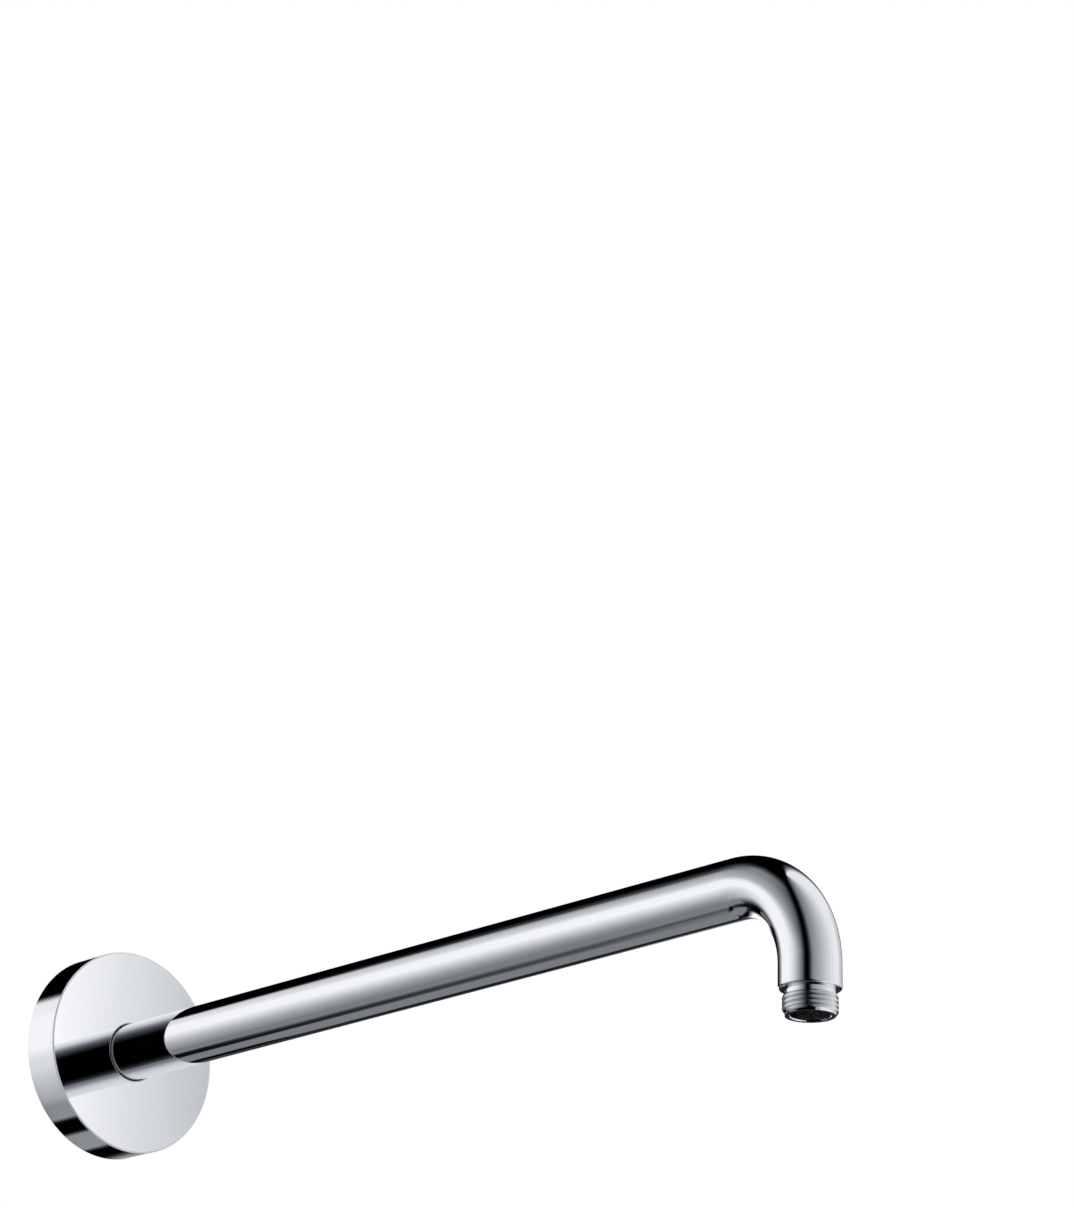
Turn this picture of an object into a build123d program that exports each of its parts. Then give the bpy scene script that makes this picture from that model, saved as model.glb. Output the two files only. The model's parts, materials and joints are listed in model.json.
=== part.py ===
"""A wall-fed shower arm: a bent tube with a threaded nipple brazed into each end,
and a round escutcheon that slides along the tube to cover the hole in the wall.

The origin lies on the finished wall, on the tube's axis. +X leaves the wall and
+Z is up, so the outlet points along -Z. All sizes are in millimetres.
"""
import os

from build123d import *

# Tube, drawn brass, bent once through a right angle
TUBE_OD = 24.0
TUBE_WALL = 1.5
TUBE_START = 4.0  # wall to the tube's inlet end, hidden in the escutcheon
REACH = 410.0  # wall to the outlet's axis
BEND_RADIUS = 36.0  # of the centre line
LEG_LENGTH = 10.0  # straight tube between the bend and the outlet
END_ROUND = 1.0  # polished outer edge of both tube ends

# Nipples, turned brass with a half-inch parallel pipe thread
THREAD_OD = 20.955
NECK_OD = 19.2  # relief groove behind the thread
NECK_LENGTH = 2.2
THREAD_LEAD = 0.4  # slope from the neck up to the thread
OUTLET_THREAD = 6.4
INLET_THREAD = 16.0
THREAD_CHAMFER = 1.0
WATERWAY = 15.0
MOUTH_CHAMFER = 0.4
BRAZE_GAP = 0.05  # radial, filled by the braze
BEND_MARGIN = 1.0  # a spigot stops this far short of the bend

# Escutcheon, a turned brass cup with a hub inside
ESCUTCHEON_OD = 87.0
ESCUTCHEON_DEPTH = 17.0
FACE_THICKNESS = 2.5
RIM_THICKNESS = 2.5
SLIDE_GAP = 0.3  # radial, between the hole and the tube
EDGE_CHAMFER = 0.6  # front edge of the rim
LIP_CHAMFER = 0.6  # edge of the hole, in the front face
BACK_CHAMFER = 0.4  # inner edge of the back rim

# Square rubber ring that grips the tube and keeps splash water out of the wall
RING_HEIGHT = 2.4  # radial
RING_WIDTH = 2.6
RING_CHAMFER = 0.5
RING_GAP = 0.05  # radial, to the tube and to the floor of the groove
RING_SIDE_GAP = 0.3  # on each side, in the groove
HUB_WALL = 2.0  # outside the groove and behind it

tube_radius = TUBE_OD / 2
drop = BEND_RADIUS + LEG_LENGTH
spigot_radius = tube_radius - TUBE_WALL - BRAZE_GAP
spigot_length = LEG_LENGTH - BEND_MARGIN
neck_radius = NECK_OD / 2
thread_radius = THREAD_OD / 2
bore_radius = WATERWAY / 2

hole_radius = tube_radius + SLIDE_GAP
ring_inside = tube_radius + RING_GAP
groove_radius = ring_inside + RING_HEIGHT + RING_GAP
groove_width = RING_WIDTH + 2 * RING_SIDE_GAP
face_back = ESCUTCHEON_DEPTH - FACE_THICKNESS
groove_middle = face_back - groove_width / 2
hub_back = face_back - groove_width - HUB_WALL
hub_radius = groove_radius + HUB_WALL
rim_outside = ESCUTCHEON_OD / 2
rim_inside = rim_outside - RIM_THICKNESS

# Planes at the two ends of the tube: local X is a radius, local Y leaves the tube
outlet_end = Plane(origin=(REACH, 0, -drop), x_dir=(1, 0, 0), z_dir=(0, 1, 0))
inlet_end = Plane(origin=(TUBE_START, 0, 0), x_dir=(0, 0, 1), z_dir=(0, -1, 0))


def nipple_outline(thread_length):
    """Half section of a nipple: spigot, neck, plain thread blank, chamfer and waterway."""
    thread_start = NECK_LENGTH + THREAD_LEAD
    thread_end = thread_start + thread_length
    tip = thread_end + THREAD_CHAMFER
    Polyline(
        (bore_radius, -spigot_length),
        (spigot_radius, -spigot_length),
        (spigot_radius, 0),
        (neck_radius, 0),
        (neck_radius, NECK_LENGTH),
        (thread_radius, thread_start),
        (thread_radius, thread_end),
        (thread_radius - THREAD_CHAMFER, tip),
        (bore_radius + MOUTH_CHAMFER, tip),
        (bore_radius, tip - MOUTH_CHAMFER),
        close=True,
    )


# Arm tube
with BuildPart() as arm_tube:
    with BuildLine(Plane.XZ):
        FilletPolyline((TUBE_START, 0), (REACH, 0), (REACH, -drop), radius=BEND_RADIUS)
    with BuildSketch(Plane.YZ.offset(TUBE_START)):
        Circle(tube_radius)
        Circle(tube_radius - TUBE_WALL, mode=Mode.SUBTRACT)
    sweep()
    inlet_face = arm_tube.faces().sort_by(Axis.X)[0]
    outlet_face = arm_tube.faces().sort_by(Axis.Z)[0]
    fillet(inlet_face.outer_wire().edges() + outlet_face.outer_wire().edges(), END_ROUND)

# Outlet nipple, which takes the shower head
with BuildPart() as outlet_nipple:
    with BuildSketch(outlet_end):
        with BuildLine():
            nipple_outline(OUTLET_THREAD)
        make_face()
    revolve(axis=Axis(outlet_end.origin, outlet_end.y_dir))

# Inlet nipple, which screws into the fitting in the wall
with BuildPart() as inlet_nipple:
    with BuildSketch(inlet_end):
        with BuildLine():
            nipple_outline(INLET_THREAD)
        make_face()
    revolve(axis=Axis(inlet_end.origin, inlet_end.y_dir))

# Escutcheon: local X of its section is along the tube, local Y is a radius
with BuildPart() as escutcheon:
    with BuildSketch(Plane.XZ) as cup_section:
        with BuildLine():
            Polyline(
                (0, rim_outside),
                (ESCUTCHEON_DEPTH, rim_outside),
                (ESCUTCHEON_DEPTH, hole_radius),
                (hub_back, hole_radius),
                (hub_back, hub_radius),
                (face_back, hub_radius),
                (face_back, rim_inside),
                (0, rim_inside),
                close=True,
            )
        make_face()
        chamfer(cup_section.vertices().group_by(Axis.X)[-1].sort_by(Axis.Y)[-1], EDGE_CHAMFER)
        chamfer(cup_section.vertices().group_by(Axis.X)[-1].sort_by(Axis.Y)[0], LIP_CHAMFER)
        chamfer(cup_section.vertices().group_by(Axis.X)[0].sort_by(Axis.Y)[0], BACK_CHAMFER)
        with Locations((groove_middle, hole_radius)):
            Rectangle(
                groove_width,
                groove_radius - hole_radius,
                align=(Align.CENTER, Align.MIN),
                mode=Mode.SUBTRACT,
            )
    revolve(axis=Axis.X)

# Grip ring in the hub's groove
with BuildPart() as grip_ring:
    with BuildSketch(Plane.XZ) as ring_section:
        with Locations((groove_middle, ring_inside)):
            Rectangle(RING_WIDTH, RING_HEIGHT, align=(Align.CENTER, Align.MIN))
        chamfer(ring_section.vertices(), RING_CHAMFER)
    revolve(axis=Axis.X)

os.makedirs("parts", exist_ok=True)

arm_tube.part.label = "arm_tube"
export_step(arm_tube.part, "parts/arm_tube.step")

outlet_nipple.part.label = "outlet_nipple"
export_step(outlet_nipple.part, "parts/outlet_nipple.step")

inlet_nipple.part.label = "inlet_nipple"
export_step(inlet_nipple.part, "parts/inlet_nipple.step")

escutcheon.part.label = "escutcheon"
export_step(escutcheon.part, "parts/escutcheon.step")

grip_ring.part.label = "grip_ring"
export_step(grip_ring.part, "parts/grip_ring.step")
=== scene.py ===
# %% [markdown]
# # A chromed shower arm
#
# The arm is a drawn brass tube, bent once, with a threaded nipple brazed into each end. A round
# escutcheon slides along the tube and covers the hole in the wall. All of it but the inlet nipple
# and a rubber ring is chrome plated, so nearly everything that is seen here is a reflection.
#
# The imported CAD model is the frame: it gives the place and size of every piece, and how the
# escutcheon moves. The pieces are modelled again around it with many more faces, because a mirror
# shows every facet of a coarse mesh.

# %% Load the frame
import json
import math

import bpy
from mathutils import Matrix, Vector


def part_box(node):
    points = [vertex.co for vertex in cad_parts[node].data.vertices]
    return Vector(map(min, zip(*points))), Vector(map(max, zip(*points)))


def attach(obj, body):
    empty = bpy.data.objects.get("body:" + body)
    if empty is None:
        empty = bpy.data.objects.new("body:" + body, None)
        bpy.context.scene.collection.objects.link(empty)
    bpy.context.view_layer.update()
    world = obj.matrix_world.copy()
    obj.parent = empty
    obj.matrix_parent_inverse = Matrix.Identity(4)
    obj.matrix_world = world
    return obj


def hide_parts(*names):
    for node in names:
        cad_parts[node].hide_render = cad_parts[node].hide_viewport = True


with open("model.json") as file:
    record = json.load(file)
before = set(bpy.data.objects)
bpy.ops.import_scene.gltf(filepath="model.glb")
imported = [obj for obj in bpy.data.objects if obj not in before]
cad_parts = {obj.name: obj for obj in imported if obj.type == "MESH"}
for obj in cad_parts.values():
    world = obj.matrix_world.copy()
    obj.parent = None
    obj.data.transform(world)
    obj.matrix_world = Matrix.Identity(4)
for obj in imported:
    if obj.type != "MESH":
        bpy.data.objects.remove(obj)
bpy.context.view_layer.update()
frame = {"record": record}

# %% [markdown]
# ## Camera
#
# The photograph looks up at the arm from below, from the right of the wall, through a long lens.
# The camera's place was found by matching the outlines of the tube, bend and escutcheon. It is set
# before anything else, so that every later step can be judged in the right frame.

# %% Camera
CAMERA_PLACE = Vector((1.5494, -1.2414, -0.5107))
CAMERA_AIM = Vector((0.1971, 0.0625, 0.1755))
CAMERA_ROLL = math.radians(0.87)
LENS_MM = 140.73

scene = bpy.context.scene
bpy.ops.object.camera_add(location=CAMERA_PLACE)
camera = bpy.context.object
camera.name = "camera"
camera.rotation_mode = "QUATERNION"
facing = (CAMERA_AIM - CAMERA_PLACE).to_track_quat("-Z", "Y")
camera.rotation_quaternion = facing @ Matrix.Rotation(CAMERA_ROLL, 3, "Z").to_quaternion()
camera.data.lens = LENS_MM
scene.camera = camera
scene.view_settings.view_transform = "Standard"
print("camera is", round((CAMERA_AIM - CAMERA_PLACE).length, 2), "m from its aim")

# %% [markdown]
# ## Node sums
#
# Shaders are sums of numbers, and long rows of Math nodes are hard to read. This class wraps an
# output socket, so that a sum can be written as Python: each operator adds its own Math node.
# Every other kind of node comes from one method, which sets the node up before it links it. The
# last methods are soft edges, which the finishes and the studio are mostly made of.


# %% A socket that can be added and multiplied
class Wire:
    """An output socket, or an empty start of a node tree."""

    def __init__(self, tree, socket=None):
        self.tree = tree
        self.socket = socket

    def node(self, kind, settings=None, inputs=None, output=0):
        """Adds a node, makes its settings, then fills its inputs with values or wires."""
        made = self.tree.nodes.new(kind)
        for key, value in (settings or {}).items():
            setattr(made, key, value)
        for key, value in (inputs or {}).items():
            if isinstance(value, Wire):
                self.tree.links.new(value.socket, made.inputs[key])
            else:
                made.inputs[key].default_value = value
        return Wire(self.tree, made.outputs[output] if made.outputs else None)

    def math(self, operation, *values):
        """Adds a Math node that works on these values."""
        return self.node("ShaderNodeMath", {"operation": operation}, dict(enumerate(values)))

    def __add__(self, other):
        return self.math("ADD", self, other)

    __radd__ = __add__

    def __sub__(self, other):
        return self.math("SUBTRACT", self, other)

    def __rsub__(self, other):
        return self.math("SUBTRACT", other, self)

    def __mul__(self, other):
        return self.math("MULTIPLY", self, other)

    __rmul__ = __mul__

    def __neg__(self):
        return self * -1

    def __pow__(self, other):
        return self.math("POWER", self, other)

    def absolute(self):
        return self.math("ABSOLUTE", self)

    def at_least(self, other):
        return self.math("MAXIMUM", self, other)

    def at_most(self, other):
        return self.math("MINIMUM", self, other)

    def toward(self, other, share):
        """Goes a share of the way from this value to another."""
        return self + (other - self) * share

    def between(self, start, end, low=0.0, high=1.0, kind="SMOOTHSTEP"):
        """Goes from low to high as this value goes from start to end, and holds still outside."""
        places = {"Value": self, 1: start, 2: end, 3: low, 4: high}
        return self.node("ShaderNodeMapRange", {"interpolation_type": kind}, places)

    def ramp(self, start, end, low=0.0, high=1.0):
        """The same in a straight line, without the soft start and end."""
        return self.between(start, end, low, high, kind="LINEAR")

    def past(self, edge, softness):
        """Rises softly from 0 to 1 as this value passes an edge."""
        return self.between(edge - softness, edge + softness)

    def short_of(self, edge, softness):
        """Falls softly from 1 to 0 as this value passes an edge."""
        return self.between(edge + softness, edge - softness)


def empty_tree(owner):
    """Starts a material's or a world's node tree from nothing."""
    owner.use_nodes = True
    owner.node_tree.nodes.clear()
    return Wire(owner.node_tree)


print("node sums are ready")

# %% [markdown]
# ## Modelling helpers
#
# Turned pieces start as half their section: one vertex, extruded from point to point, then spun
# about the axis as on a lathe. Spin leaves a seam of double vertices and can turn the surface
# inside out, so the doubles are merged first and the normals recalculated after that.

# %% Lines and lathe
FULL_TURN = 2 * math.pi
QUARTER_TURN = math.pi / 2
MERGE_DISTANCE = 1e-6
START_SIZE = 0.01


def close_seams():
    """Merges double vertices, then turns every face outwards. Needs edit mode."""
    bpy.ops.mesh.select_all(action="SELECT")
    bpy.ops.mesh.remove_doubles(threshold=MERGE_DISTANCE)
    bpy.ops.mesh.normals_make_consistent(inside=False)


def draw_line(name, points, closed=False):
    """A line of edges: one vertex, extruded from point to point. Leaves edit mode on."""
    bpy.ops.object.select_all(action="DESELECT")
    bpy.ops.mesh.primitive_plane_add(size=START_SIZE)
    piece = bpy.context.object
    piece.name = name
    bpy.ops.object.mode_set(mode="EDIT")
    bpy.ops.mesh.select_all(action="SELECT")
    bpy.ops.mesh.merge(type="CENTER")
    bpy.ops.transform.translate(value=Vector(points[0]))
    stops = [Vector(point) for point in points]
    if closed:
        stops.append(stops[0])
    for here, there in zip(stops, stops[1:]):
        bpy.ops.mesh.extrude_region_move(TRANSFORM_OT_translate={"value": there - here})
    close_seams()
    return piece


def turn(name, outline, axis, steps, closed=True):
    """Turns a line about an axis through the origin. Leaves edit mode on."""
    piece = draw_line(name, outline, closed)
    bpy.ops.mesh.spin(steps=steps, angle=FULL_TURN, center=(0, 0, 0), axis=axis)
    close_seams()
    return piece


print("lathe is ready")

# %% [markdown]
# Modifiers are applied as soon as they are set, so that a later step can select what they made.
# Every piece ends in the same way: its place goes into its mesh, curved faces are shaded smooth,
# and large flat faces get the say over the normals beside them, because a mirror shows a normal
# that is only a little off. Then the CAD node that it stands for is hidden, and the piece is hung
# on the body that carries it.

# %% Modifiers and last steps


def apply_modifier(piece, kind, **settings):
    """Adds a modifier, sets it and applies it. Needs object mode."""
    modifier = piece.modifiers.new(kind.title(), kind)
    for key, value in settings.items():
        setattr(modifier, key, value)
    bpy.ops.object.modifier_apply(modifier=modifier.name)


def finish_piece(piece, body, node, smooth_angle):
    """Smooths a piece, hides the CAD node that it stands for and hangs it on its body."""
    bpy.ops.object.mode_set(mode="OBJECT")
    bpy.ops.object.transform_apply(location=True, rotation=True, scale=True)
    bpy.ops.object.shade_smooth_by_angle(angle=smooth_angle)
    apply_modifier(piece, "WEIGHTED_NORMAL", mode="FACE_AREA", keep_sharp=True)
    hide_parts(node)
    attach(piece, body)
    print(piece.name, len(piece.data.polygons), "faces, rides on", body)


print("modifiers are ready")

# %% [markdown]
# ## Bent tube
#
# The real tube is drawn straight, then bent round a former. The mesh is made in the same order: a
# circle is extruded to the bend, spun a quarter turn about the bend's centre and extruded down the
# leg. A bevelled curve would be quicker, but its bend isn't a true arc and it has no wall.

# %% Bent tube
MM = 0.001
BEND_RADIUS = 36 * MM
TUBE_SEGMENTS = 192
BEND_STEPS = 72

tube_low, tube_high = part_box("arm_tube")
tube_radius = tube_high.y
tube_start = tube_low.x
tube_end = tube_low.z
reach = tube_high.x - tube_radius
bend_start = reach - BEND_RADIUS
leg_start = -BEND_RADIUS

bpy.ops.object.select_all(action="DESELECT")
bpy.ops.mesh.primitive_circle_add(
    vertices=TUBE_SEGMENTS,
    radius=tube_radius,
    location=(tube_start, 0, 0),
    rotation=(0, QUARTER_TURN, 0),
)
tube = bpy.context.object
tube.name = "bent_tube"
bpy.ops.object.transform_apply(location=True, rotation=True, scale=True)
bpy.ops.object.mode_set(mode="EDIT")
bpy.ops.mesh.select_all(action="SELECT")
straight = (bend_start - tube_start, 0, 0)
bpy.ops.mesh.extrude_region_move(TRANSFORM_OT_translate={"value": straight})
bpy.ops.mesh.spin(
    steps=BEND_STEPS,
    angle=QUARTER_TURN,
    center=(bend_start, 0, leg_start),
    axis=(0, -1, 0),
)
leg = (0, 0, tube_end - leg_start)
bpy.ops.mesh.extrude_region_move(TRANSFORM_OT_translate={"value": leg})
close_seams()
bpy.ops.object.mode_set(mode="OBJECT")
print("tube outside:", [round(value, 4) for value in tube.dimensions])

# %% [markdown]
# So far the tube is a skin. Solidify gives it a wall, inwards, because the outside is the size that
# is known. The two cut ends are polished round on the real tube, so their outer edges are bevelled.
# Nothing can be clicked here, so edges are selected by a test on the places of their vertices.

# %% Wall of the tube and its rounded ends
TUBE_WALL = 1.5 * MM
END_ROUND = 1.0 * MM
END_SEGMENTS = 8
SMOOTH_ANGLE = math.radians(35)
NEAR = 0.01 * MM


def select_points(piece, wanted):
    """Selects the vertices that pass a test, with the edges and faces between them."""
    bpy.ops.object.mode_set(mode="OBJECT")
    mesh = piece.data
    for point in mesh.vertices:
        point.select = wanted(point.co)
    for edge in mesh.edges:
        edge.select = all(mesh.vertices[index].select for index in edge.vertices)
    for face in mesh.polygons:
        face.select = all(mesh.vertices[index].select for index in face.vertices)
    bpy.ops.object.mode_set(mode="EDIT")
    return sum(point.select for point in mesh.vertices)


def on_end_edge(point):
    """True on the outer edge of either end of the tube."""
    inlet = abs(point.x - tube_start) < NEAR
    outlet = abs(point.z - tube_end) < NEAR
    from_axis = math.hypot(point.y, point.z if inlet else point.x - reach)
    return (inlet or outlet) and abs(from_axis - tube_radius) < NEAR


apply_modifier(tube, "SOLIDIFY", thickness=TUBE_WALL, offset=-1, use_even_offset=True)
edge_points = select_points(tube, on_end_edge)
bpy.ops.mesh.bevel(offset=END_ROUND, offset_type="OFFSET", segments=END_SEGMENTS, affect="EDGES")
print("rounded", edge_points, "vertices of the two ends")
finish_piece(tube, "arm", "arm_tube", SMOOTH_ANGLE)

# %% [markdown]
# ## Threaded nipples
#
# Both nipples carry a half-inch parallel pipe thread, 1.814 mm in pitch, 55 degrees between flanks.
# Buffing before plating takes the round off its crests, and chrome fills its roots, so what shows
# is a row of flat bands with narrow grooves between them. Rings stacked along the nipple would look
# nearly the same, but they don't climb as a thread does. One pitch of the profile is drawn here,
# to be wound up into a true helix.

# %% Thread profile
PITCH = 1.814 * MM
FLANK_ANGLE = math.radians(27.5)
CREST_FLAT = 0.58 * PITCH
CREST_ROUND = 0.12 * MM
ROOT_ROUND = 0.14 * MM
ARC_STEPS = 4

mounts = {mount["name"]: mount for mount in frame["record"]["mounts"]}
thread_radius = mounts["outlet_thread"]["dims"]["r_mm"] * MM


def thread_profile(start):
    """One pitch of the thread, from root to root, as points in the XZ plane."""
    swing = QUARTER_TURN - FLANK_ANGLE
    angles = [swing * step / ARC_STEPS for step in range(ARC_STEPS + 1)]
    corner = CREST_ROUND * math.tan(swing / 2)
    groove = (PITCH - CREST_FLAT) / 2 - corner
    tip_lift = ROOT_ROUND / math.cos(swing) - ROOT_ROUND
    root = thread_radius - (groove + corner) / math.tan(FLANK_ANGLE) + tip_lift
    rise = [(root + ROOT_ROUND * (1 - math.cos(a)), ROOT_ROUND * math.sin(a)) for a in angles]
    crest_edge = (PITCH - CREST_FLAT) / 2 + corner
    for a in reversed(angles):
        radius = thread_radius - CREST_ROUND * (1 - math.cos(a))
        rise.append((radius, crest_edge - CREST_ROUND * math.sin(a)))
    fall = [(radius, PITCH - along) for radius, along in reversed(rise)]
    return [(radius, 0, start + along) for radius, along in rise + fall]


print("groove is", round((thread_radius - thread_profile(0)[0][0]) / MM, 2), "mm deep")

# %% [markdown]
# A Screw modifier winds the profile up. The thread is then trimmed to the nipple's blank: vertices
# past the neck or the tip slide back to it, and the groove runs out towards both. A boolean cut
# would do the same, but it leaves long thin faces that show in a mirror.

# %% Wind and trim the thread
NIPPLE_STEPS = 160
NECK_RADIUS = 9.6 * MM
NECK_LENGTH = 2.2 * MM
THREAD_LEAD = 0.4 * MM
THREAD_CHAMFER = 1.0 * MM
NECK_RUNOUT = 0.8 * MM
TIP_RUNOUT = 0.5 * MM


def wind_thread(name, tip):
    """A thread along +Z that reaches past the neck and the tip. Leaves object mode on."""
    thread = draw_line(name, thread_profile(NECK_LENGTH - PITCH))
    bpy.ops.object.mode_set(mode="OBJECT")
    apply_modifier(
        thread,
        "SCREW",
        axis="Z",
        angle=FULL_TURN,
        screw_offset=PITCH,
        iterations=math.ceil((tip - NECK_LENGTH) / PITCH) + 1,
        steps=NIPPLE_STEPS,
        render_steps=NIPPLE_STEPS,
        use_merge_vertices=True,
        merge_threshold=MERGE_DISTANCE,
    )
    return thread


def trim_thread(thread, tip):
    """Slides every vertex into the blank, and lets the groove run out at both ends."""
    tip_radius = thread_radius - THREAD_CHAMFER
    for point in thread.data.vertices:
        radius = math.hypot(point.co.x, point.co.y)
        along = min(max(point.co.z, NECK_LENGTH), tip)
        lead = NECK_RADIUS + (along - NECK_LENGTH) / THREAD_LEAD * (thread_radius - NECK_RADIUS)
        blank = min(lead, thread_radius, tip_radius + tip - along)
        runout = min((along - NECK_LENGTH) / NECK_RUNOUT, (tip - along) / TIP_RUNOUT, 1)
        trimmed = blank - max(blank - radius, 0) * runout
        point.co.x *= trimmed / radius
        point.co.y *= trimmed / radius
        point.co.z = along


print("thread winds in", NIPPLE_STEPS, "steps a turn")

# %% [markdown]
# The rest of the nipple is its neck, the spigot that is brazed into the tube, the waterway and the
# chamfer of its mouth. It is turned with as many steps as the thread, so its rings meet the
# thread's vertex for vertex, and the two merge into one closed mesh.

# %% Nipple
BORE_RADIUS = 7.5 * MM
MOUTH_CHAMFER = 0.4 * MM
BRAZE_GAP = 0.05 * MM
SPIGOT_LENGTH = 9.0 * MM


def nipple(name, thread_length):
    """A nipple along +Z from the tube's end at the origin. Leaves object mode on."""
    tip = NECK_LENGTH + THREAD_LEAD + thread_length + THREAD_CHAMFER
    spigot_radius = tube_radius - TUBE_WALL - BRAZE_GAP
    body_outline = [
        (NECK_RADIUS, 0, NECK_LENGTH),
        (NECK_RADIUS, 0, 0),
        (spigot_radius, 0, 0),
        (spigot_radius, 0, -SPIGOT_LENGTH),
        (BORE_RADIUS, 0, -SPIGOT_LENGTH),
        (BORE_RADIUS, 0, tip - MOUTH_CHAMFER),
        (BORE_RADIUS + MOUTH_CHAMFER, 0, tip),
        (thread_radius - THREAD_CHAMFER, 0, tip),
    ]
    thread = wind_thread(name, tip)
    trim_thread(thread, tip)
    turn(name + "_body", body_outline, (0, 0, 1), NIPPLE_STEPS, closed=False)
    bpy.ops.object.mode_set(mode="OBJECT")
    thread.select_set(True)
    bpy.context.view_layer.objects.active = thread
    bpy.ops.object.join()
    bpy.ops.object.mode_set(mode="EDIT")
    bpy.ops.mesh.select_all(action="SELECT")
    bpy.ops.mesh.remove_doubles(threshold=MERGE_DISTANCE)
    bpy.ops.mesh.dissolve_degenerate(threshold=MERGE_DISTANCE)
    close_seams()
    bpy.ops.object.mode_set(mode="OBJECT")
    print(name, round(thread_length / PITCH, 1), "turns of thread")
    return thread


# %% Place the nipples
outlet_length = mounts["outlet_thread"]["dims"]["length_mm"] * MM
inlet_length = mounts["inlet_thread"]["dims"]["length_mm"] * MM

outlet = nipple("outlet_thread", outlet_length)
outlet.rotation_euler = (math.pi, 0, 0)
outlet.location = (reach, 0, tube_end)
finish_piece(outlet, "arm", "outlet_nipple", SMOOTH_ANGLE)

inlet = nipple("inlet_thread", inlet_length)
inlet.rotation_euler = (0, -QUARTER_TURN, 0)
inlet.location = (tube_start, 0, 0)
finish_piece(inlet, "arm", "inlet_nipple", SMOOTH_ANGLE)

# %% [markdown]
# ## Escutcheon
#
# The escutcheon is a cup turned from brass: a flat face, a deep rim and, inside, a hub with a
# groove for the rubber ring that grips the tube. Its half section is drawn once and turned. Buffing
# rounds the edges that show, and that rounding draws the thin line round the face and the ring
# round its hole, so these two are arcs in the section. A narrow Bevel modifier breaks the rest.

# %% Sizes of the escutcheon
FACE_THICKNESS = 2.5 * MM
RIM_THICKNESS = 2.5 * MM
SLIDE_GAP = 0.3 * MM
GROOVE_PLAY = 0.05 * MM
GROOVE_SIDE_PLAY = 0.3 * MM
HUB_WALL = 2.0 * MM

cup_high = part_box("escutcheon")[1]
ring_low, ring_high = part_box("grip_ring")
depth = cup_high.x
face_back = depth - FACE_THICKNESS
rim_outside = cup_high.y
rim_inside = rim_outside - RIM_THICKNESS
hole_radius = tube_radius + SLIDE_GAP
groove_radius = ring_high.y + GROOVE_PLAY
groove_front = ring_high.x + GROOVE_SIDE_PLAY
groove_back = ring_low.x - GROOVE_SIDE_PLAY
hub_radius = groove_radius + HUB_WALL
hub_back = groove_back - HUB_WALL
print("escutcheon is", round(2 * rim_outside / MM, 1), "by", round(depth / MM, 1), "mm")

# %% Escutcheon
FRONT_ROUND = 0.6 * MM
LIP_ROUND = 0.6 * MM
ROUND_STEPS = 10
BACK_CHAMFER = 0.4 * MM
EDGE_ROUND = 0.12 * MM
EDGE_SEGMENTS = 3
EDGE_ANGLE = math.radians(30)
DISC_STEPS = 256


def quarter(along, radius, size, begin):
    """A quarter round of a section, from an angle clockwise."""
    angles = [begin - QUARTER_TURN * step / ROUND_STEPS for step in range(ROUND_STEPS + 1)]
    return [(along + size * math.cos(a), 0, radius + size * math.sin(a)) for a in angles]


front_edge = quarter(depth - FRONT_ROUND, rim_outside - FRONT_ROUND, FRONT_ROUND, QUARTER_TURN)
lip = quarter(depth - LIP_ROUND, hole_radius + LIP_ROUND, LIP_ROUND, 0)
cup_outline = [(0, 0, rim_outside)] + front_edge + lip + [
    (groove_front, 0, hole_radius),
    (groove_front, 0, groove_radius),
    (groove_back, 0, groove_radius),
    (groove_back, 0, hole_radius),
    (hub_back, 0, hole_radius),
    (hub_back, 0, hub_radius),
    (face_back, 0, hub_radius),
    (face_back, 0, rim_inside),
    (BACK_CHAMFER, 0, rim_inside),
    (0, 0, rim_inside + BACK_CHAMFER),
]
cup = turn("wall_escutcheon", cup_outline, (1, 0, 0), DISC_STEPS)
bpy.ops.object.mode_set(mode="OBJECT")
apply_modifier(
    cup,
    "BEVEL",
    width=EDGE_ROUND,
    segments=EDGE_SEGMENTS,
    limit_method="ANGLE",
    angle_limit=EDGE_ANGLE,
)
finish_piece(cup, "escutcheon", "escutcheon", SMOOTH_ANGLE)

# %% [markdown]
# ## Grip ring
#
# A square rubber ring sits in the hub's groove, grips the tube and keeps water out of the wall. A
# torus would be a round ring, so this one is turned from its section, a square with its corners
# cut. Soft rubber has no crisp edges, so the corners are shaded smooth.

# %% Grip ring
RING_CHAMFER = 0.5 * MM
RUBBER_SMOOTH_ANGLE = math.radians(50)

ring_inside = tube_radius + GROOVE_PLAY
ring_outline = [
    (ring_low.x + RING_CHAMFER, 0, ring_inside),
    (ring_high.x - RING_CHAMFER, 0, ring_inside),
    (ring_high.x, 0, ring_inside + RING_CHAMFER),
    (ring_high.x, 0, ring_high.y - RING_CHAMFER),
    (ring_high.x - RING_CHAMFER, 0, ring_high.y),
    (ring_low.x + RING_CHAMFER, 0, ring_high.y),
    (ring_low.x, 0, ring_high.y - RING_CHAMFER),
    (ring_low.x, 0, ring_inside + RING_CHAMFER),
]
ring = turn("rubber_grip_ring", ring_outline, (1, 0, 0), DISC_STEPS)
finish_piece(ring, "escutcheon", "grip_ring", RUBBER_SMOOTH_ANGLE)

# %% [markdown]
# ## Polished chrome
#
# Chrome plate over polished brass is a mirror with a faint blue cast. What tells it from a perfect
# mirror is its polish: soft patches where the buffing wheel left it a little less sharp. An even
# roughness would look like a computer's idea of chrome, so a noise on the piece's own coordinates
# moves it a little.

# %% Polished chrome
CHROME = (0.885, 0.90, 0.928, 1)
POLISH_SHARP = 0.025
POLISH_SOFT = 0.055
POLISH_SCALE = 35.0
POLISH_DETAIL = 3.0
NOISE_MIDDLE = (0.35, 0.7)


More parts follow.
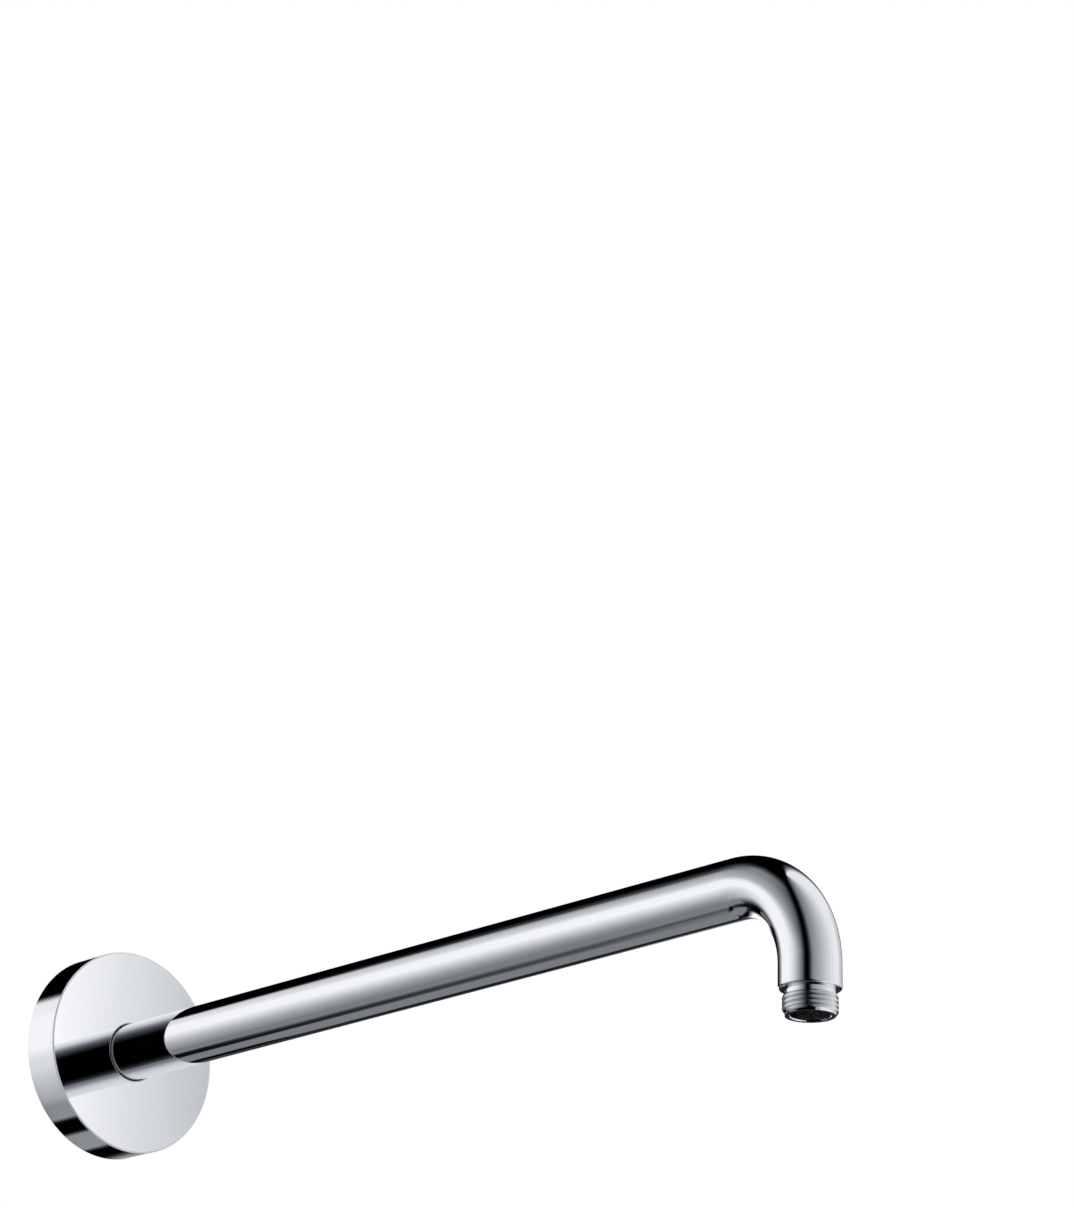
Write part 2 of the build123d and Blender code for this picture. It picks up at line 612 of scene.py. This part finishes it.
def new_material(name):
    material = bpy.data.materials.new(name)
    return material, empty_tree(material)


def principled(start, inputs):
    """Ends a material's tree in a Principled shader."""
    shader = start.node("ShaderNodeBsdfPrincipled", inputs=inputs)
    start.node("ShaderNodeOutputMaterial", inputs={"Surface": shader})


def object_place(start):
    return start.node("ShaderNodeTexCoord", output="Object")


def noise(start, place, scale, detail):
    settings = {"noise_dimensions": "3D"}
    inputs = {"Vector": place, "Scale": scale, "Detail": detail}
    return start.node("ShaderNodeTexNoise", settings, inputs)


def patches(start, place, scale, detail, low=0.0, high=1.0):
    """Soft patches: the middle values of a noise, spread from low to high."""
    return noise(start, place, scale, detail).between(*NOISE_MIDDLE, low, high)


chrome, start = new_material("mirror_chrome")
place = object_place(start)
principled(start, {
    "Base Color": CHROME,
    "Metallic": 1.0,
    "Roughness": patches(start, place, POLISH_SCALE, POLISH_DETAIL, POLISH_SHARP, POLISH_SOFT),
})
print("chrome roughness from", POLISH_SHARP, "to", POLISH_SOFT)

# %% [markdown]
# ## Unbuffed chrome
#
# The wheel doesn't reach into the thread, the bores or the back of the escutcheon. The plate there
# is thinner, greyer and satin, with the rings that the turning tool left in the brass. A Wave
# texture draws rings too, but all alike. Here a noise reads only the place along the axis and the
# distance from it, so it is the same all round, and no two rings are alike.

# %% Unbuffed chrome
SATIN_BRIGHT = (0.77, 0.78, 0.81, 1)
SATIN_DULL = (0.64, 0.65, 0.675, 1)
SATIN_SHARP = 0.17
SATIN_SOFT = 0.27
HAZE_SCALE = 90.0
HAZE_DETAIL = 3.0
TOOL_MARK_SCALE = 5000.0
TOOL_MARK_DETAIL = 1.0
BUMP_DISTANCE = 0.05 * MM
SATIN_RINGS = 0.15
THREAD_RINGS = 0.04


def two_colours(start, factor, first, second):
    sockets = {"Factor": factor, 6: first, 7: second}
    return start.node("ShaderNodeMix", {"data_type": "RGBA"}, sockets, output=2)


def bump(start, height, strength):
    inputs = {"Strength": strength, "Distance": BUMP_DISTANCE, "Height": height}
    return start.node("ShaderNodeBump", inputs=inputs)


def vector_length(start, vector):
    return start.node("ShaderNodeVectorMath", {"operation": "LENGTH"}, {0: vector}, output="Value")


def tool_rings(start, place, strength):
    """Fine rings about the X axis."""
    along = start.node("ShaderNodeSeparateXYZ", inputs={0: place})
    across = start.node("ShaderNodeVectorMath", {"operation": "MULTIPLY"}, {0: place, 1: (0, 1, 1)})
    section = start.node("ShaderNodeCombineXYZ", inputs={0: along, 1: vector_length(start, across)})
    return bump(start, noise(start, section, TOOL_MARK_SCALE, TOOL_MARK_DETAIL), strength)


def unbuffed_chrome(name, rings, along_leg=False):
    """Satin chrome with its tool rings about the X axis, or about the axis of the leg."""
    material, start = new_material(name)
    place = object_place(start)
    if along_leg:
        inputs = {"Vector": place, "Location": (0, 0, reach), "Rotation": (0, QUARTER_TURN, 0)}
        place = start.node("ShaderNodeMapping", inputs=inputs)
    haze = patches(start, place, HAZE_SCALE, HAZE_DETAIL)
    principled(start, {
        "Base Color": two_colours(start, haze, SATIN_BRIGHT, SATIN_DULL),
        "Metallic": 1.0,
        "Roughness": haze.between(0, 1, SATIN_SHARP, SATIN_SOFT),
        "Normal": tool_rings(start, place, rings),
    })
    return material


satin = unbuffed_chrome("unbuffed_chrome", SATIN_RINGS)
thread_satin = unbuffed_chrome("unbuffed_chrome_thread", THREAD_RINGS, along_leg=True)
print("unbuffed chrome roughness from", SATIN_SHARP, "to", SATIN_SOFT)

# %% [markdown]
# ## Dull edges
#
# The two edges of the escutcheon's face, round its rim and round its hole, were broken by the
# turning tool and only brushed by the wheel. As mirrors they would be black here and white there.
# They are left dull, so they gather light from all sides and draw the soft grey line that runs
# round the face and the tube's foot.

# %% Dull chrome edges
DULL_SHARP = 0.45
DULL_SOFT = 0.6
DULL_METAL = (0.6, 0.35)
SCUFF_SCALE = 150.0
SCUFF_DETAIL = 3.0

dull, start = new_material("dull_chrome_edge")
scuff = patches(start, object_place(start), SCUFF_SCALE, SCUFF_DETAIL)
principled(start, {
    "Base Color": two_colours(start, scuff, SATIN_BRIGHT, SATIN_DULL),
    "Metallic": scuff.between(0, 1, *DULL_METAL),
    "Roughness": scuff.between(0, 1, DULL_SHARP, DULL_SOFT),
})
print("dull edge roughness from", DULL_SHARP, "to", DULL_SOFT)

# %% [markdown]
# ## Raw brass
#
# The inlet nipple is hidden in the wall, so it was turned and never plated. It keeps the rings of
# the tool and dulls unevenly. The same noise darkens and roughens it, because tarnish does both.

# %% Raw brass
BRASS_BRIGHT = (0.80, 0.60, 0.30, 1)
BRASS_DULL = (0.62, 0.43, 0.21, 1)
BRASS_SHARP = 0.22
BRASS_SOFT = 0.38
BRASS_RINGS = 0.15
TARNISH_SCALE = 120.0
TARNISH_DETAIL = 4.0

brass, start = new_material("turned_brass")
place = object_place(start)
tarnish = patches(start, place, TARNISH_SCALE, TARNISH_DETAIL)
principled(start, {
    "Base Color": two_colours(start, tarnish, BRASS_BRIGHT, BRASS_DULL),
    "Metallic": 1.0,
    "Roughness": tarnish.between(0, 1, BRASS_SHARP, BRASS_SOFT),
    "Normal": tool_rings(start, place, BRASS_RINGS),
})
print("brass roughness from", BRASS_SHARP, "to", BRASS_SOFT)

# %% [markdown]
# ## Black rubber
#
# Moulded rubber is nearly black and breaks up what little it reflects. A fine bump gives it the
# grain of its mould, and wide patches of roughness stand for the pale bloom that rubber gets.

# %% Black rubber
RUBBER = (0.03, 0.03, 0.03, 1)
RUBBER_SHARP = 0.62
RUBBER_SOFT = 0.8
BLOOM_SCALE = 400.0
BLOOM_DETAIL = 4.0
BLOOM_MIDDLE = (0.3, 0.7)
GRAIN_SCALE = 2500.0
GRAIN_DETAIL = 2.0
GRAIN_STRENGTH = 0.3

rubber, start = new_material("ring_rubber")
place = object_place(start)
bloom = noise(start, place, BLOOM_SCALE, BLOOM_DETAIL)
principled(start, {
    "Base Color": RUBBER,
    "Roughness": bloom.between(*BLOOM_MIDDLE, RUBBER_SHARP, RUBBER_SOFT),
    "Normal": bump(start, noise(start, place, GRAIN_SCALE, GRAIN_DETAIL), GRAIN_STRENGTH),
})
print("rubber roughness from", RUBBER_SHARP, "to", RUBBER_SOFT)

# %% [markdown]
# ## Dressing
#
# Each piece gets its main finish first. The faces that the wheel missed are then picked out by
# their place and given a second or third material. A painted mask could fade one finish into the
# other, but on the real piece the change happens at an edge, where the mesh has an edge too.

# %% Dress the pieces
finishes = [(tube, chrome), (outlet, chrome), (cup, chrome), (inlet, brass), (ring, rubber)]
for piece, material in finishes:
    piece.data.materials.clear()
    piece.data.materials.append(material)
    print(piece.name, "is", material.name)

# %% Faces that the wheel missed


def inside_tube(point):
    """True nearer to the centre line of the tube than the middle of its wall."""
    if point.x < bend_start:
        from_line = math.hypot(point.y, point.z)
    elif point.z < leg_start:
        from_line = math.hypot(point.x - reach, point.y)
    else:
        from_bend = math.hypot(point.x - bend_start, point.z - leg_start) - BEND_RADIUS
        from_line = math.hypot(from_bend, point.y)
    return from_line < tube_radius - TUBE_WALL / 2


def in_thread_or_bore(point):
    """True on the outlet's thread and in its bore."""
    below_tube = tube_end - point.z
    in_thread = NECK_LENGTH < below_tube < NECK_LENGTH + THREAD_LEAD + outlet_length
    return in_thread or math.hypot(point.x - reach, point.y) < BORE_RADIUS + NEAR


def in_cup(point):
    """True behind the escutcheon's face and inside its rim."""
    from_axis = math.hypot(point.y, point.z)
    return point.x < face_back + NEAR and from_axis < rim_outside - RIM_THICKNESS / 2


def on_face_edge(point):
    """True on the rounded edges of the escutcheon's face, round its rim and its hole."""
    from_axis = math.hypot(point.y, point.z)
    on_rim = point.x > depth - FRONT_ROUND + NEAR and from_axis > rim_outside - FRONT_ROUND
    on_lip = point.x > face_back and from_axis < hole_radius + LIP_ROUND
    return on_rim or on_lip


missed_by_the_wheel = [
    (tube, satin, inside_tube),
    (outlet, thread_satin, in_thread_or_bore),
    (cup, satin, in_cup),
    (cup, dull, on_face_edge),
]
for piece, material, is_missed in missed_by_the_wheel:
    piece.data.materials.append(material)
    missed = [face for face in piece.data.polygons if is_missed(face.center)]
    for face in missed:
        face.material_index = len(piece.data.materials) - 1
    print(piece.name, "has", len(missed), "faces of", material.name)

# %% [markdown]
# ## Studio
#
# Chrome has no look of its own: it shows the room. Here the room is a dark studio with a large
# soft panel on either side, a grey floor and a white card beyond the bend. Between the panels is
# the dark gap that the camera looks through: it draws the black stripe down the leg. Real panels
# could stand round the arm, but their soft edges would be hard to place. So the room is painted on
# the world, as a sum of soft edges that depend on where a ray goes.
#
# Directions are angles in degrees: height above the horizon, front from +X towards +Y, and wall
# from -X towards -Y. A soft edge is named once, by the angles that it starts and ends at, then by
# its levels there if they aren't 0 and 1. Brightness is summed as it looks on the screen, and made
# linear at the end.

# %% Directions in the studio
DEGREES = 180 / math.pi

world = bpy.data.worlds.new("studio")
scene.world = world
start = empty_tree(world)
direction = start.node("ShaderNodeTexCoord", output="Generated")
x = start.node("ShaderNodeSeparateXYZ", inputs={0: direction}, output=0)
y = start.node("ShaderNodeSeparateXYZ", inputs={0: direction}, output=1)
z = start.node("ShaderNodeSeparateXYZ", inputs={0: direction}, output=2)
height = start.math("ARCSINE", z) * DEGREES
front = start.math("ARCTAN2", y, x) * DEGREES
wall = start.math("ARCTAN2", -y, -x) * DEGREES
print("directions take", len(world.node_tree.nodes), "nodes")

# %% [markdown]
# ### Left panel
#
# The left panel is the largest light. The tube mirrors it as the broad highlight along its length,
# and the rim and the left half of the leg mirror it too. It is brightest in a band that climbs with
# the distance from the wall, and fades towards its top, its foot and its far end.

# %% Left panel
LEAN_HEIGHT = 15
LEFT_CLIMB = (-20, 45, -33, 10)
LEFT_UPPER_FADE = (28, 38.5, 1.0, 0.72)
LEFT_TOP_FADE = (38.5, 59, 1.0, 0.77)
LEFT_LOWER_FADE = (6, -41, 1.0, 0.50)
LEFT_FAR_FADE = 42
LEFT_FAR_FADE_LENGTH = 82
LEFT_FAR_EDGE = 116
LEFT_FAR_LEAN = 0.39
LEFT_FAR_SOFT = 12
LEFT_TOP = (77, 54)
LEFT_FOOT = (-64, -48)

climb = height + wall.ramp(*LEFT_CLIMB)
above = climb.ramp(*LEFT_UPPER_FADE) * climb.ramp(*LEFT_TOP_FADE)
below = height.ramp(*LEFT_LOWER_FADE)
aside = (wall - LEFT_FAR_FADE).at_least(0) * (1 / LEFT_FAR_FADE_LENGTH)
far_edge = LEFT_FAR_EDGE - (height - LEAN_HEIGHT) * LEFT_FAR_LEAN
left = above.at_most(below) * (1 - aside * aside) * wall.short_of(far_edge, LEFT_FAR_SOFT)
left = left * height.between(*LEFT_TOP) * height.between(*LEFT_FOOT)
print("left panel ends", LEFT_FAR_EDGE, "degrees from the wall")

# %% [markdown]
# The near edge of the panel makes the upper limit of the tube's highlight. It comes closest to the
# wall at middle height and is sharpest a little above that. Some light spills past it near the
# floor. Last come two small touches: an upper corner that is a little dimmer, and a lower part that
# brightens away from the wall.

# %% Near edge of the left panel
LEFT_NEAR_EDGE = 2
LEFT_NEAR_SOFT = 17
UPPER_PART = (20, 32)
UPPER_SETBACK = 13
UPPER_SHARPER = 11.5
LOWER_PART = (8, -8)
LOWER_SETBACK = 13.5
LOWER_SHARPER = 2
TOP_SETBACK = (37, 44, 0, 5)
TOP_SOFTER = (39, 47, 0, 24)
SPILL_HEIGHT = (-5, -42)
SPILL_SIDE = (-30, -12)
CORNER_HEIGHT = (35, 41)
CORNER_DIMMER = (44, 22, 0, 0.2)
LIFT_HEIGHT = (10, -2)
LIFT = (39, 49, -0.04, 0.08)

upper = height.between(*UPPER_PART)
lower = height.between(*LOWER_PART)
near_edge = LEFT_NEAR_EDGE + upper * UPPER_SETBACK + lower * LOWER_SETBACK
near_edge = near_edge + height.between(*TOP_SETBACK)
softness = LEFT_NEAR_SOFT - upper * UPPER_SHARPER - lower * LOWER_SHARPER
softness = softness + height.between(*TOP_SOFTER)
spill = height.between(*SPILL_HEIGHT) * wall.between(*SPILL_SIDE)
left = left * wall.past(near_edge, softness).at_least(spill)
left = left * (1 - wall.ramp(*CORNER_DIMMER) * height.between(*CORNER_HEIGHT))
left = left * (1 + wall.ramp(*LIFT) * height.between(*LIFT_HEIGHT))
print("left panel starts", LEFT_NEAR_EDGE, "degrees from the wall")

# %% [markdown]
# ### Right panel
#
# The right panel lights the flat face of the escutcheon and the right half of the leg. It
# brightens steadily away from the camera.
#
# A dark flag stands near the arm's foot. It can't be seen straight in the chrome, only where tube
# and escutcheon mirror each other, so the panel starts later for a ray that has already been
# reflected once. Ray Depth tells such rays apart. It counts the world as one more step, so one
# reflection gives 2 and two give 3.

# %% Right panel
RIGHT_SPREAD = (-62, 58, 1, 0)
RIGHT_CURVE = 1.45
RIGHT_DARKEST = 0.385
RIGHT_GAIN = 0.563
RIGHT_NEAR_EDGE = -47
RIGHT_NEAR_LEAN = 0.33
RIGHT_NEAR_SOFT = 13
RIGHT_FAR_EDGE = (126, 102)
RIGHT_FOOT = -41
RIGHT_FOOT_DROP = (5, 35, 0, 26)
RIGHT_FOOT_SOFT = 9
SECOND_REFLECTION = 2.5
FLAG_EDGE = -2
FLAG_UPPER_EDGE = (5, 30, 0, 21)
FLAG_LOWER_EDGE = (-10, -30, 0, 3.5)
FLAG_SOFTER = 19
FLAG_LIFT = (10, 28, 0, 0.13)

bounces = start.node("ShaderNodeLightPath", output="Ray Depth")
again = start.math("GREATER_THAN", bounces, SECOND_REFLECTION)
near_edge = RIGHT_NEAR_EDGE - (height - LEAN_HEIGHT) * RIGHT_NEAR_LEAN
flag_edge = FLAG_EDGE - height.between(*FLAG_UPPER_EDGE) + height.between(*FLAG_LOWER_EDGE)
near_edge = near_edge.toward(flag_edge, again)
foot = RIGHT_FOOT - front.between(*RIGHT_FOOT_DROP)
right = RIGHT_DARKEST + (1 - front.ramp(*RIGHT_SPREAD) ** RIGHT_CURVE) * RIGHT_GAIN
right = right * (1 + again * height.between(*FLAG_LIFT))
right = right * front.past(near_edge, RIGHT_NEAR_SOFT + again * FLAG_SOFTER)
right = right * front.between(*RIGHT_FAR_EDGE) * height.between(foot - RIGHT_FOOT_SOFT, foot)
print("right panel starts", RIGHT_NEAR_EDGE, "degrees from the arm")

# %% [markdown]
# The far end of the panel is a little dimmer, all but its top, and is cut away at and below the
# horizon. The escutcheon is flat, so its whole face mirrors one small part of the panel, a few
# degrees wide. A slope of light in that part alone gives the face its change from side to side.

# %% Shading on the right panel
FAR_DIMMER = (70, 91, 0, 0.175)
FAR_DIMMER_HEIGHT = (42, 20)
CUT_SIDE = (95, 130)
CUT_TOP = (14, 4)
CUT_FOOT = (-32, -20)
FACE_NEAR_SIDE = (35, 38)
FACE_FAR_SIDE = (43, 40)
FACE_FOOT = (10, 12)
FACE_TOP = (19, 17)
FACE_SLOPE = (38, 40, 0.126, -0.126)

cut = front.between(*CUT_SIDE) * height.between(*CUT_TOP) * height.between(*CUT_FOOT)
right = right * (1 - front.between(*FAR_DIMMER) * height.between(*FAR_DIMMER_HEIGHT)) * (1 - cut)
face_part = front.between(*FACE_NEAR_SIDE) * front.between(*FACE_FAR_SIDE)
face_part = face_part * height.between(*FACE_FOOT) * height.between(*FACE_TOP)
right = right + face_part * front.ramp(*FACE_SLOPE)
print("escutcheon's face mirrors front", FACE_NEAR_SIDE[1], "to", FACE_FAR_SIDE[1], "degrees")

# %% [markdown]
# ### Floor
#
# The studio's floor is mid grey. It fills the underside of the tube and the low part of the rim,
# and ends in a soft line below the horizon. The dark above that line shows along the tube's lower
# edge.
#
# The rim is a ring about the tube's axis, so it mirrors a narrow circle of directions, all at nearly
# the same angle from -X. There a faint light lifts its grey, and the floor starts lower, which
# leaves a black patch. The floor starts lower in the same way for the foot of the tube.

# %% Floor light
RIM_CIRCLE = 40.31
RIM_LEAN = 0.0057
RIM_LIFT_BAND = (0.4, 0.2)
RIM_LIFT_TOP = (0, -10)
RIM_LIFT = (52, 28, 0, 0.15)
RIM_DIP_BAND = (0.8, 0.5)
TUBE_DIP_NEAR = (41.1, 41.6)
TUBE_DIP_FAR = (43.6, 42.6, 0, 0.75)
DIP = (-41, -35, 0, 8.5)
DIP_END = (-24, -29)
FLOOR_LINE = (-45, -15, -23, -17.5)
FLOOR_LINE_SOFT = 3.5
FLOOR_LEVEL = 0.50
FLOOR_NEARBY = (-48, -62, 0, 0.15)
FLOOR_END = (31, 30)

from_wall = start.math("ARCCOSINE", -x) * DEGREES
off_rim = (from_wall - RIM_CIRCLE + wall * RIM_LEAN).absolute()
rim_lift = off_rim.between(*RIM_LIFT_BAND) * height.between(*RIM_LIFT_TOP) * wall.between(*RIM_LIFT)
on_tube = from_wall.between(*TUBE_DIP_NEAR) * from_wall.between(*TUBE_DIP_FAR)
dip = wall.between(*DIP) * wall.between(*DIP_END) * on_tube.at_least(off_rim.between(*RIM_DIP_BAND))
floor_line = wall.ramp(*FLOOR_LINE) - dip
floor_light = height.short_of(floor_line, FLOOR_LINE_SOFT) * FLOOR_LEVEL
floor_light = (floor_light + height.between(*FLOOR_NEARBY)) * wall.between(*FLOOR_END)
print("floor starts", -FLOOR_LINE[3], "to", -FLOOR_LINE[2], "degrees below the horizon")

# %% [markdown]
# ### Dark gap at the wall
#
# The floor and the left panel leave a dark gap below the arm, where the wall meets the floor. It
# draws the thin dark line under the tube and a black patch on the rim. The line gets fainter
# towards the bend, so the gap is less deep further down. It is narrower higher up.

# %% Dark gap at the wall
GAP_MIDDLE = 1.2
GAP_SHIFT = (-41.2, -42.8, 0, 3.5)
GAP_SHIFT_BACK = (-46, -48, 0, 7)
GAP_HALF = 8.8
GAP_SOFT = 3.2
GAP_SOFTER = (-40, -46, 0, 8)
GAP_DEPTH = (-52.5, -39.5)
GAP_TOP = (-12, -20)
HIGH_GAP = (-39.4, -36.8)
HIGH_GAP_SHIFT = 2
HIGH_GAP_NARROWER = 3.3
HIGH_GAP_PALER = 0.5
HIGH_GAP_DEPTH = (-36, -20, 0, 0.3)

high = height.between(*HIGH_GAP)
gap_middle = GAP_MIDDLE - height.between(*GAP_SHIFT) + height.between(*GAP_SHIFT_BACK)
gap_middle = gap_middle + high * HIGH_GAP_SHIFT
gap_half = GAP_HALF - high * HIGH_GAP_NARROWER
gap_soft = GAP_SOFT + height.between(*GAP_SOFTER)
gap_depth = height.ramp(*GAP_DEPTH) - high * HIGH_GAP_PALER + height.ramp(*HIGH_GAP_DEPTH)
gap = (wall - gap_middle).absolute().short_of(gap_half, gap_soft)
gap = gap * gap_depth * height.between(*GAP_TOP)
low_light = left.at_least(floor_light) * (1 - gap) * (1 + rim_lift)
print("gap is", 2 * GAP_HALF, "degrees wide")

# %% [markdown]
# ### White card
#
# A white card stands beyond the arm, about level with it. The bend mirrors it as a white patch, and
# the tube shows it along its lower edge. A painted card can lean and fade as it needs to: its sides
# and foot lean, and a strip near its left side is shaded.

# %% White card
CARD_FOOT = -10
CARD_FOOT_LEAN = 0.3
CARD_FOOT_MIDDLE = -27
CARD_FOOT_SOFT = 5
CARD_SLOPE = (-24, 14)
CARD_SLOPE_SIDE = (-36, -41)
CARD_LEFT = -50
CARD_LEFT_LEAN = (4, 12, 0, 8)
CARD_LEFT_SOFT = 3
CARD_RIGHT = -15
CARD_RIGHT_LEAN = (4, 14, 0, 22)
CARD_RIGHT_SOFT = 8
CARD_TOP = (26, 18)
SHADE = (-49, -46, 0, 0.55)
SHADE_SIDE = (-40.5, -42)
SHADE_FOOT = (-22, -14)
SHADE_TOP = (12, 6)
CARD_LEVEL = 1.06

card_foot = CARD_FOOT - (wall - CARD_FOOT_MIDDLE) * CARD_FOOT_LEAN
card_left = CARD_LEFT - height.between(*CARD_LEFT_LEAN)
card_right = CARD_RIGHT - height.between(*CARD_RIGHT_LEAN)
above_foot = height.past(card_foot, CARD_FOOT_SOFT)
above_foot = above_foot.toward(height.ramp(*CARD_SLOPE), wall.between(*CARD_SLOPE_SIDE))
shade = wall.between(*SHADE) * wall.between(*SHADE_SIDE)
shade = shade * height.between(*SHADE_FOOT) * height.between(*SHADE_TOP)
card = wall.past(card_left, CARD_LEFT_SOFT) * wall.short_of(card_right, CARD_RIGHT_SOFT)
card = card * above_foot * height.between(*CARD_TOP) * (1 - shade) * CARD_LEVEL
print("card reaches from", CARD_LEFT, "to", CARD_RIGHT, "degrees from the wall")

# %% [markdown]
# ### The world
#
# The lights don't add up where they overlap: the brightest hides the others, as one panel hides
# what is behind it. Shadows in a white studio are a little blue, so dim light is cooler. The world
# is white to the camera and even grey to matt surfaces, and only glossy rays see the panels.

# %% Studio world
COOL = (0.87, 1.0, 1.21, 1)
WHITE = (1, 1, 1, 1)
TINT_CURVE = 0.5
SCREEN_GAMMA = 2.2
MATT_LIGHT = 0.8

level = low_light.at_least(right).at_least(card)
tint = two_colours(start, level ** TINT_CURVE, COOL, WHITE)


def background(colour, strength):
    return start.node("ShaderNodeBackground", inputs={"Color": colour, "Strength": strength})


to_camera = start.node("ShaderNodeLightPath", output="Is Camera Ray")
to_chrome = start.node("ShaderNodeLightPath", output="Is Glossy Ray")
room = start.node("ShaderNodeMixShader", inputs={
    0: to_chrome,
    1: background(WHITE, MATT_LIGHT),
    2: background(tint, level ** SCREEN_GAMMA),
})
surround = start.node("ShaderNodeMixShader", inputs={0: to_camera, 1: room, 2: background(WHITE, 1.0)})
start.node("ShaderNodeOutputWorld", inputs={"Surface": surround})
world.cycles.sampling_method = "NONE"
print("studio has", len(world.node_tree.nodes), "nodes")

# %% [markdown]
# ## Floor
#
# A photographer's paper sweep has no edge: it turns up behind the object and melts into white. Here
# a pale floor lies well below the arm, which the wall carries in real life, and turns to the white
# of the background further out, for the camera alone. Chrome doesn't see this floor, because the
# studio already has one.

# %% Floor
FLOOR_HEIGHT = -2.25
FLOOR_SIZE = 60.0
PAPER = (0.92, 0.92, 0.92, 1)
PAPER_ROUGHNESS = 0.9
SWEEP = (2, 6)

bpy.ops.object.select_all(action="DESELECT")
bpy.ops.mesh.primitive_plane_add(size=FLOOR_SIZE, location=(0, 0, FLOOR_HEIGHT))
floor = bpy.context.object
floor.name = "floor"
floor.visible_glossy = False
paper, start = new_material("pale_paper")
paint_inputs = {"Base Color": PAPER, "Roughness": PAPER_ROUGHNESS}
paint = start.node("ShaderNodeBsdfPrincipled", inputs=paint_inputs)
glow = start.node("ShaderNodeEmission", inputs={"Color": WHITE, "Strength": 1.0})
away = vector_length(start, object_place(start))
melted = start.node("ShaderNodeLightPath", output="Is Camera Ray") * away.between(*SWEEP)
sweep = start.node("ShaderNodeMixShader", inputs={0: melted, 1: paint, 2: glow})
start.node("ShaderNodeOutputMaterial", inputs={"Surface": sweep})
floor.data.materials.append(paper)
print("floor lies", -FLOOR_HEIGHT, "m below the arm")

# %% [markdown]
# ## Lamp
#
# Matt surfaces see the painted room as an even grey, which gives the rubber, the dull edges and the
# paper no shape. A wide lamp overhead does that. A small one would cast hard shadows. It is kept out
# of reflections, so the chrome doesn't show it.

# %% Lamp
LAMP_PLACE = Vector((0.2, -0.8, 2.0))
LAMP_AIM = Vector((0.2, 0, 0))
LAMP_WATTS = 25
LAMP_SIZE = 1.6

bpy.ops.object.light_add(type="AREA", location=LAMP_PLACE)
lamp = bpy.context.object
lamp.name = "overhead_lamp"
lamp.data.energy = LAMP_WATTS
lamp.data.size = LAMP_SIZE
lamp.visible_glossy = False
lamp.rotation_euler = (LAMP_AIM - lamp.location).to_track_quat("-Z", "Y").to_euler()
print("lamp is", LAMP_SIZE, "m wide")

# %% [markdown]
# ## Sizes
#
# The view layer is brought up to date. The visual model has to stay inside the box of the CAD
# model.

# %% Sizes
bpy.context.view_layer.update()
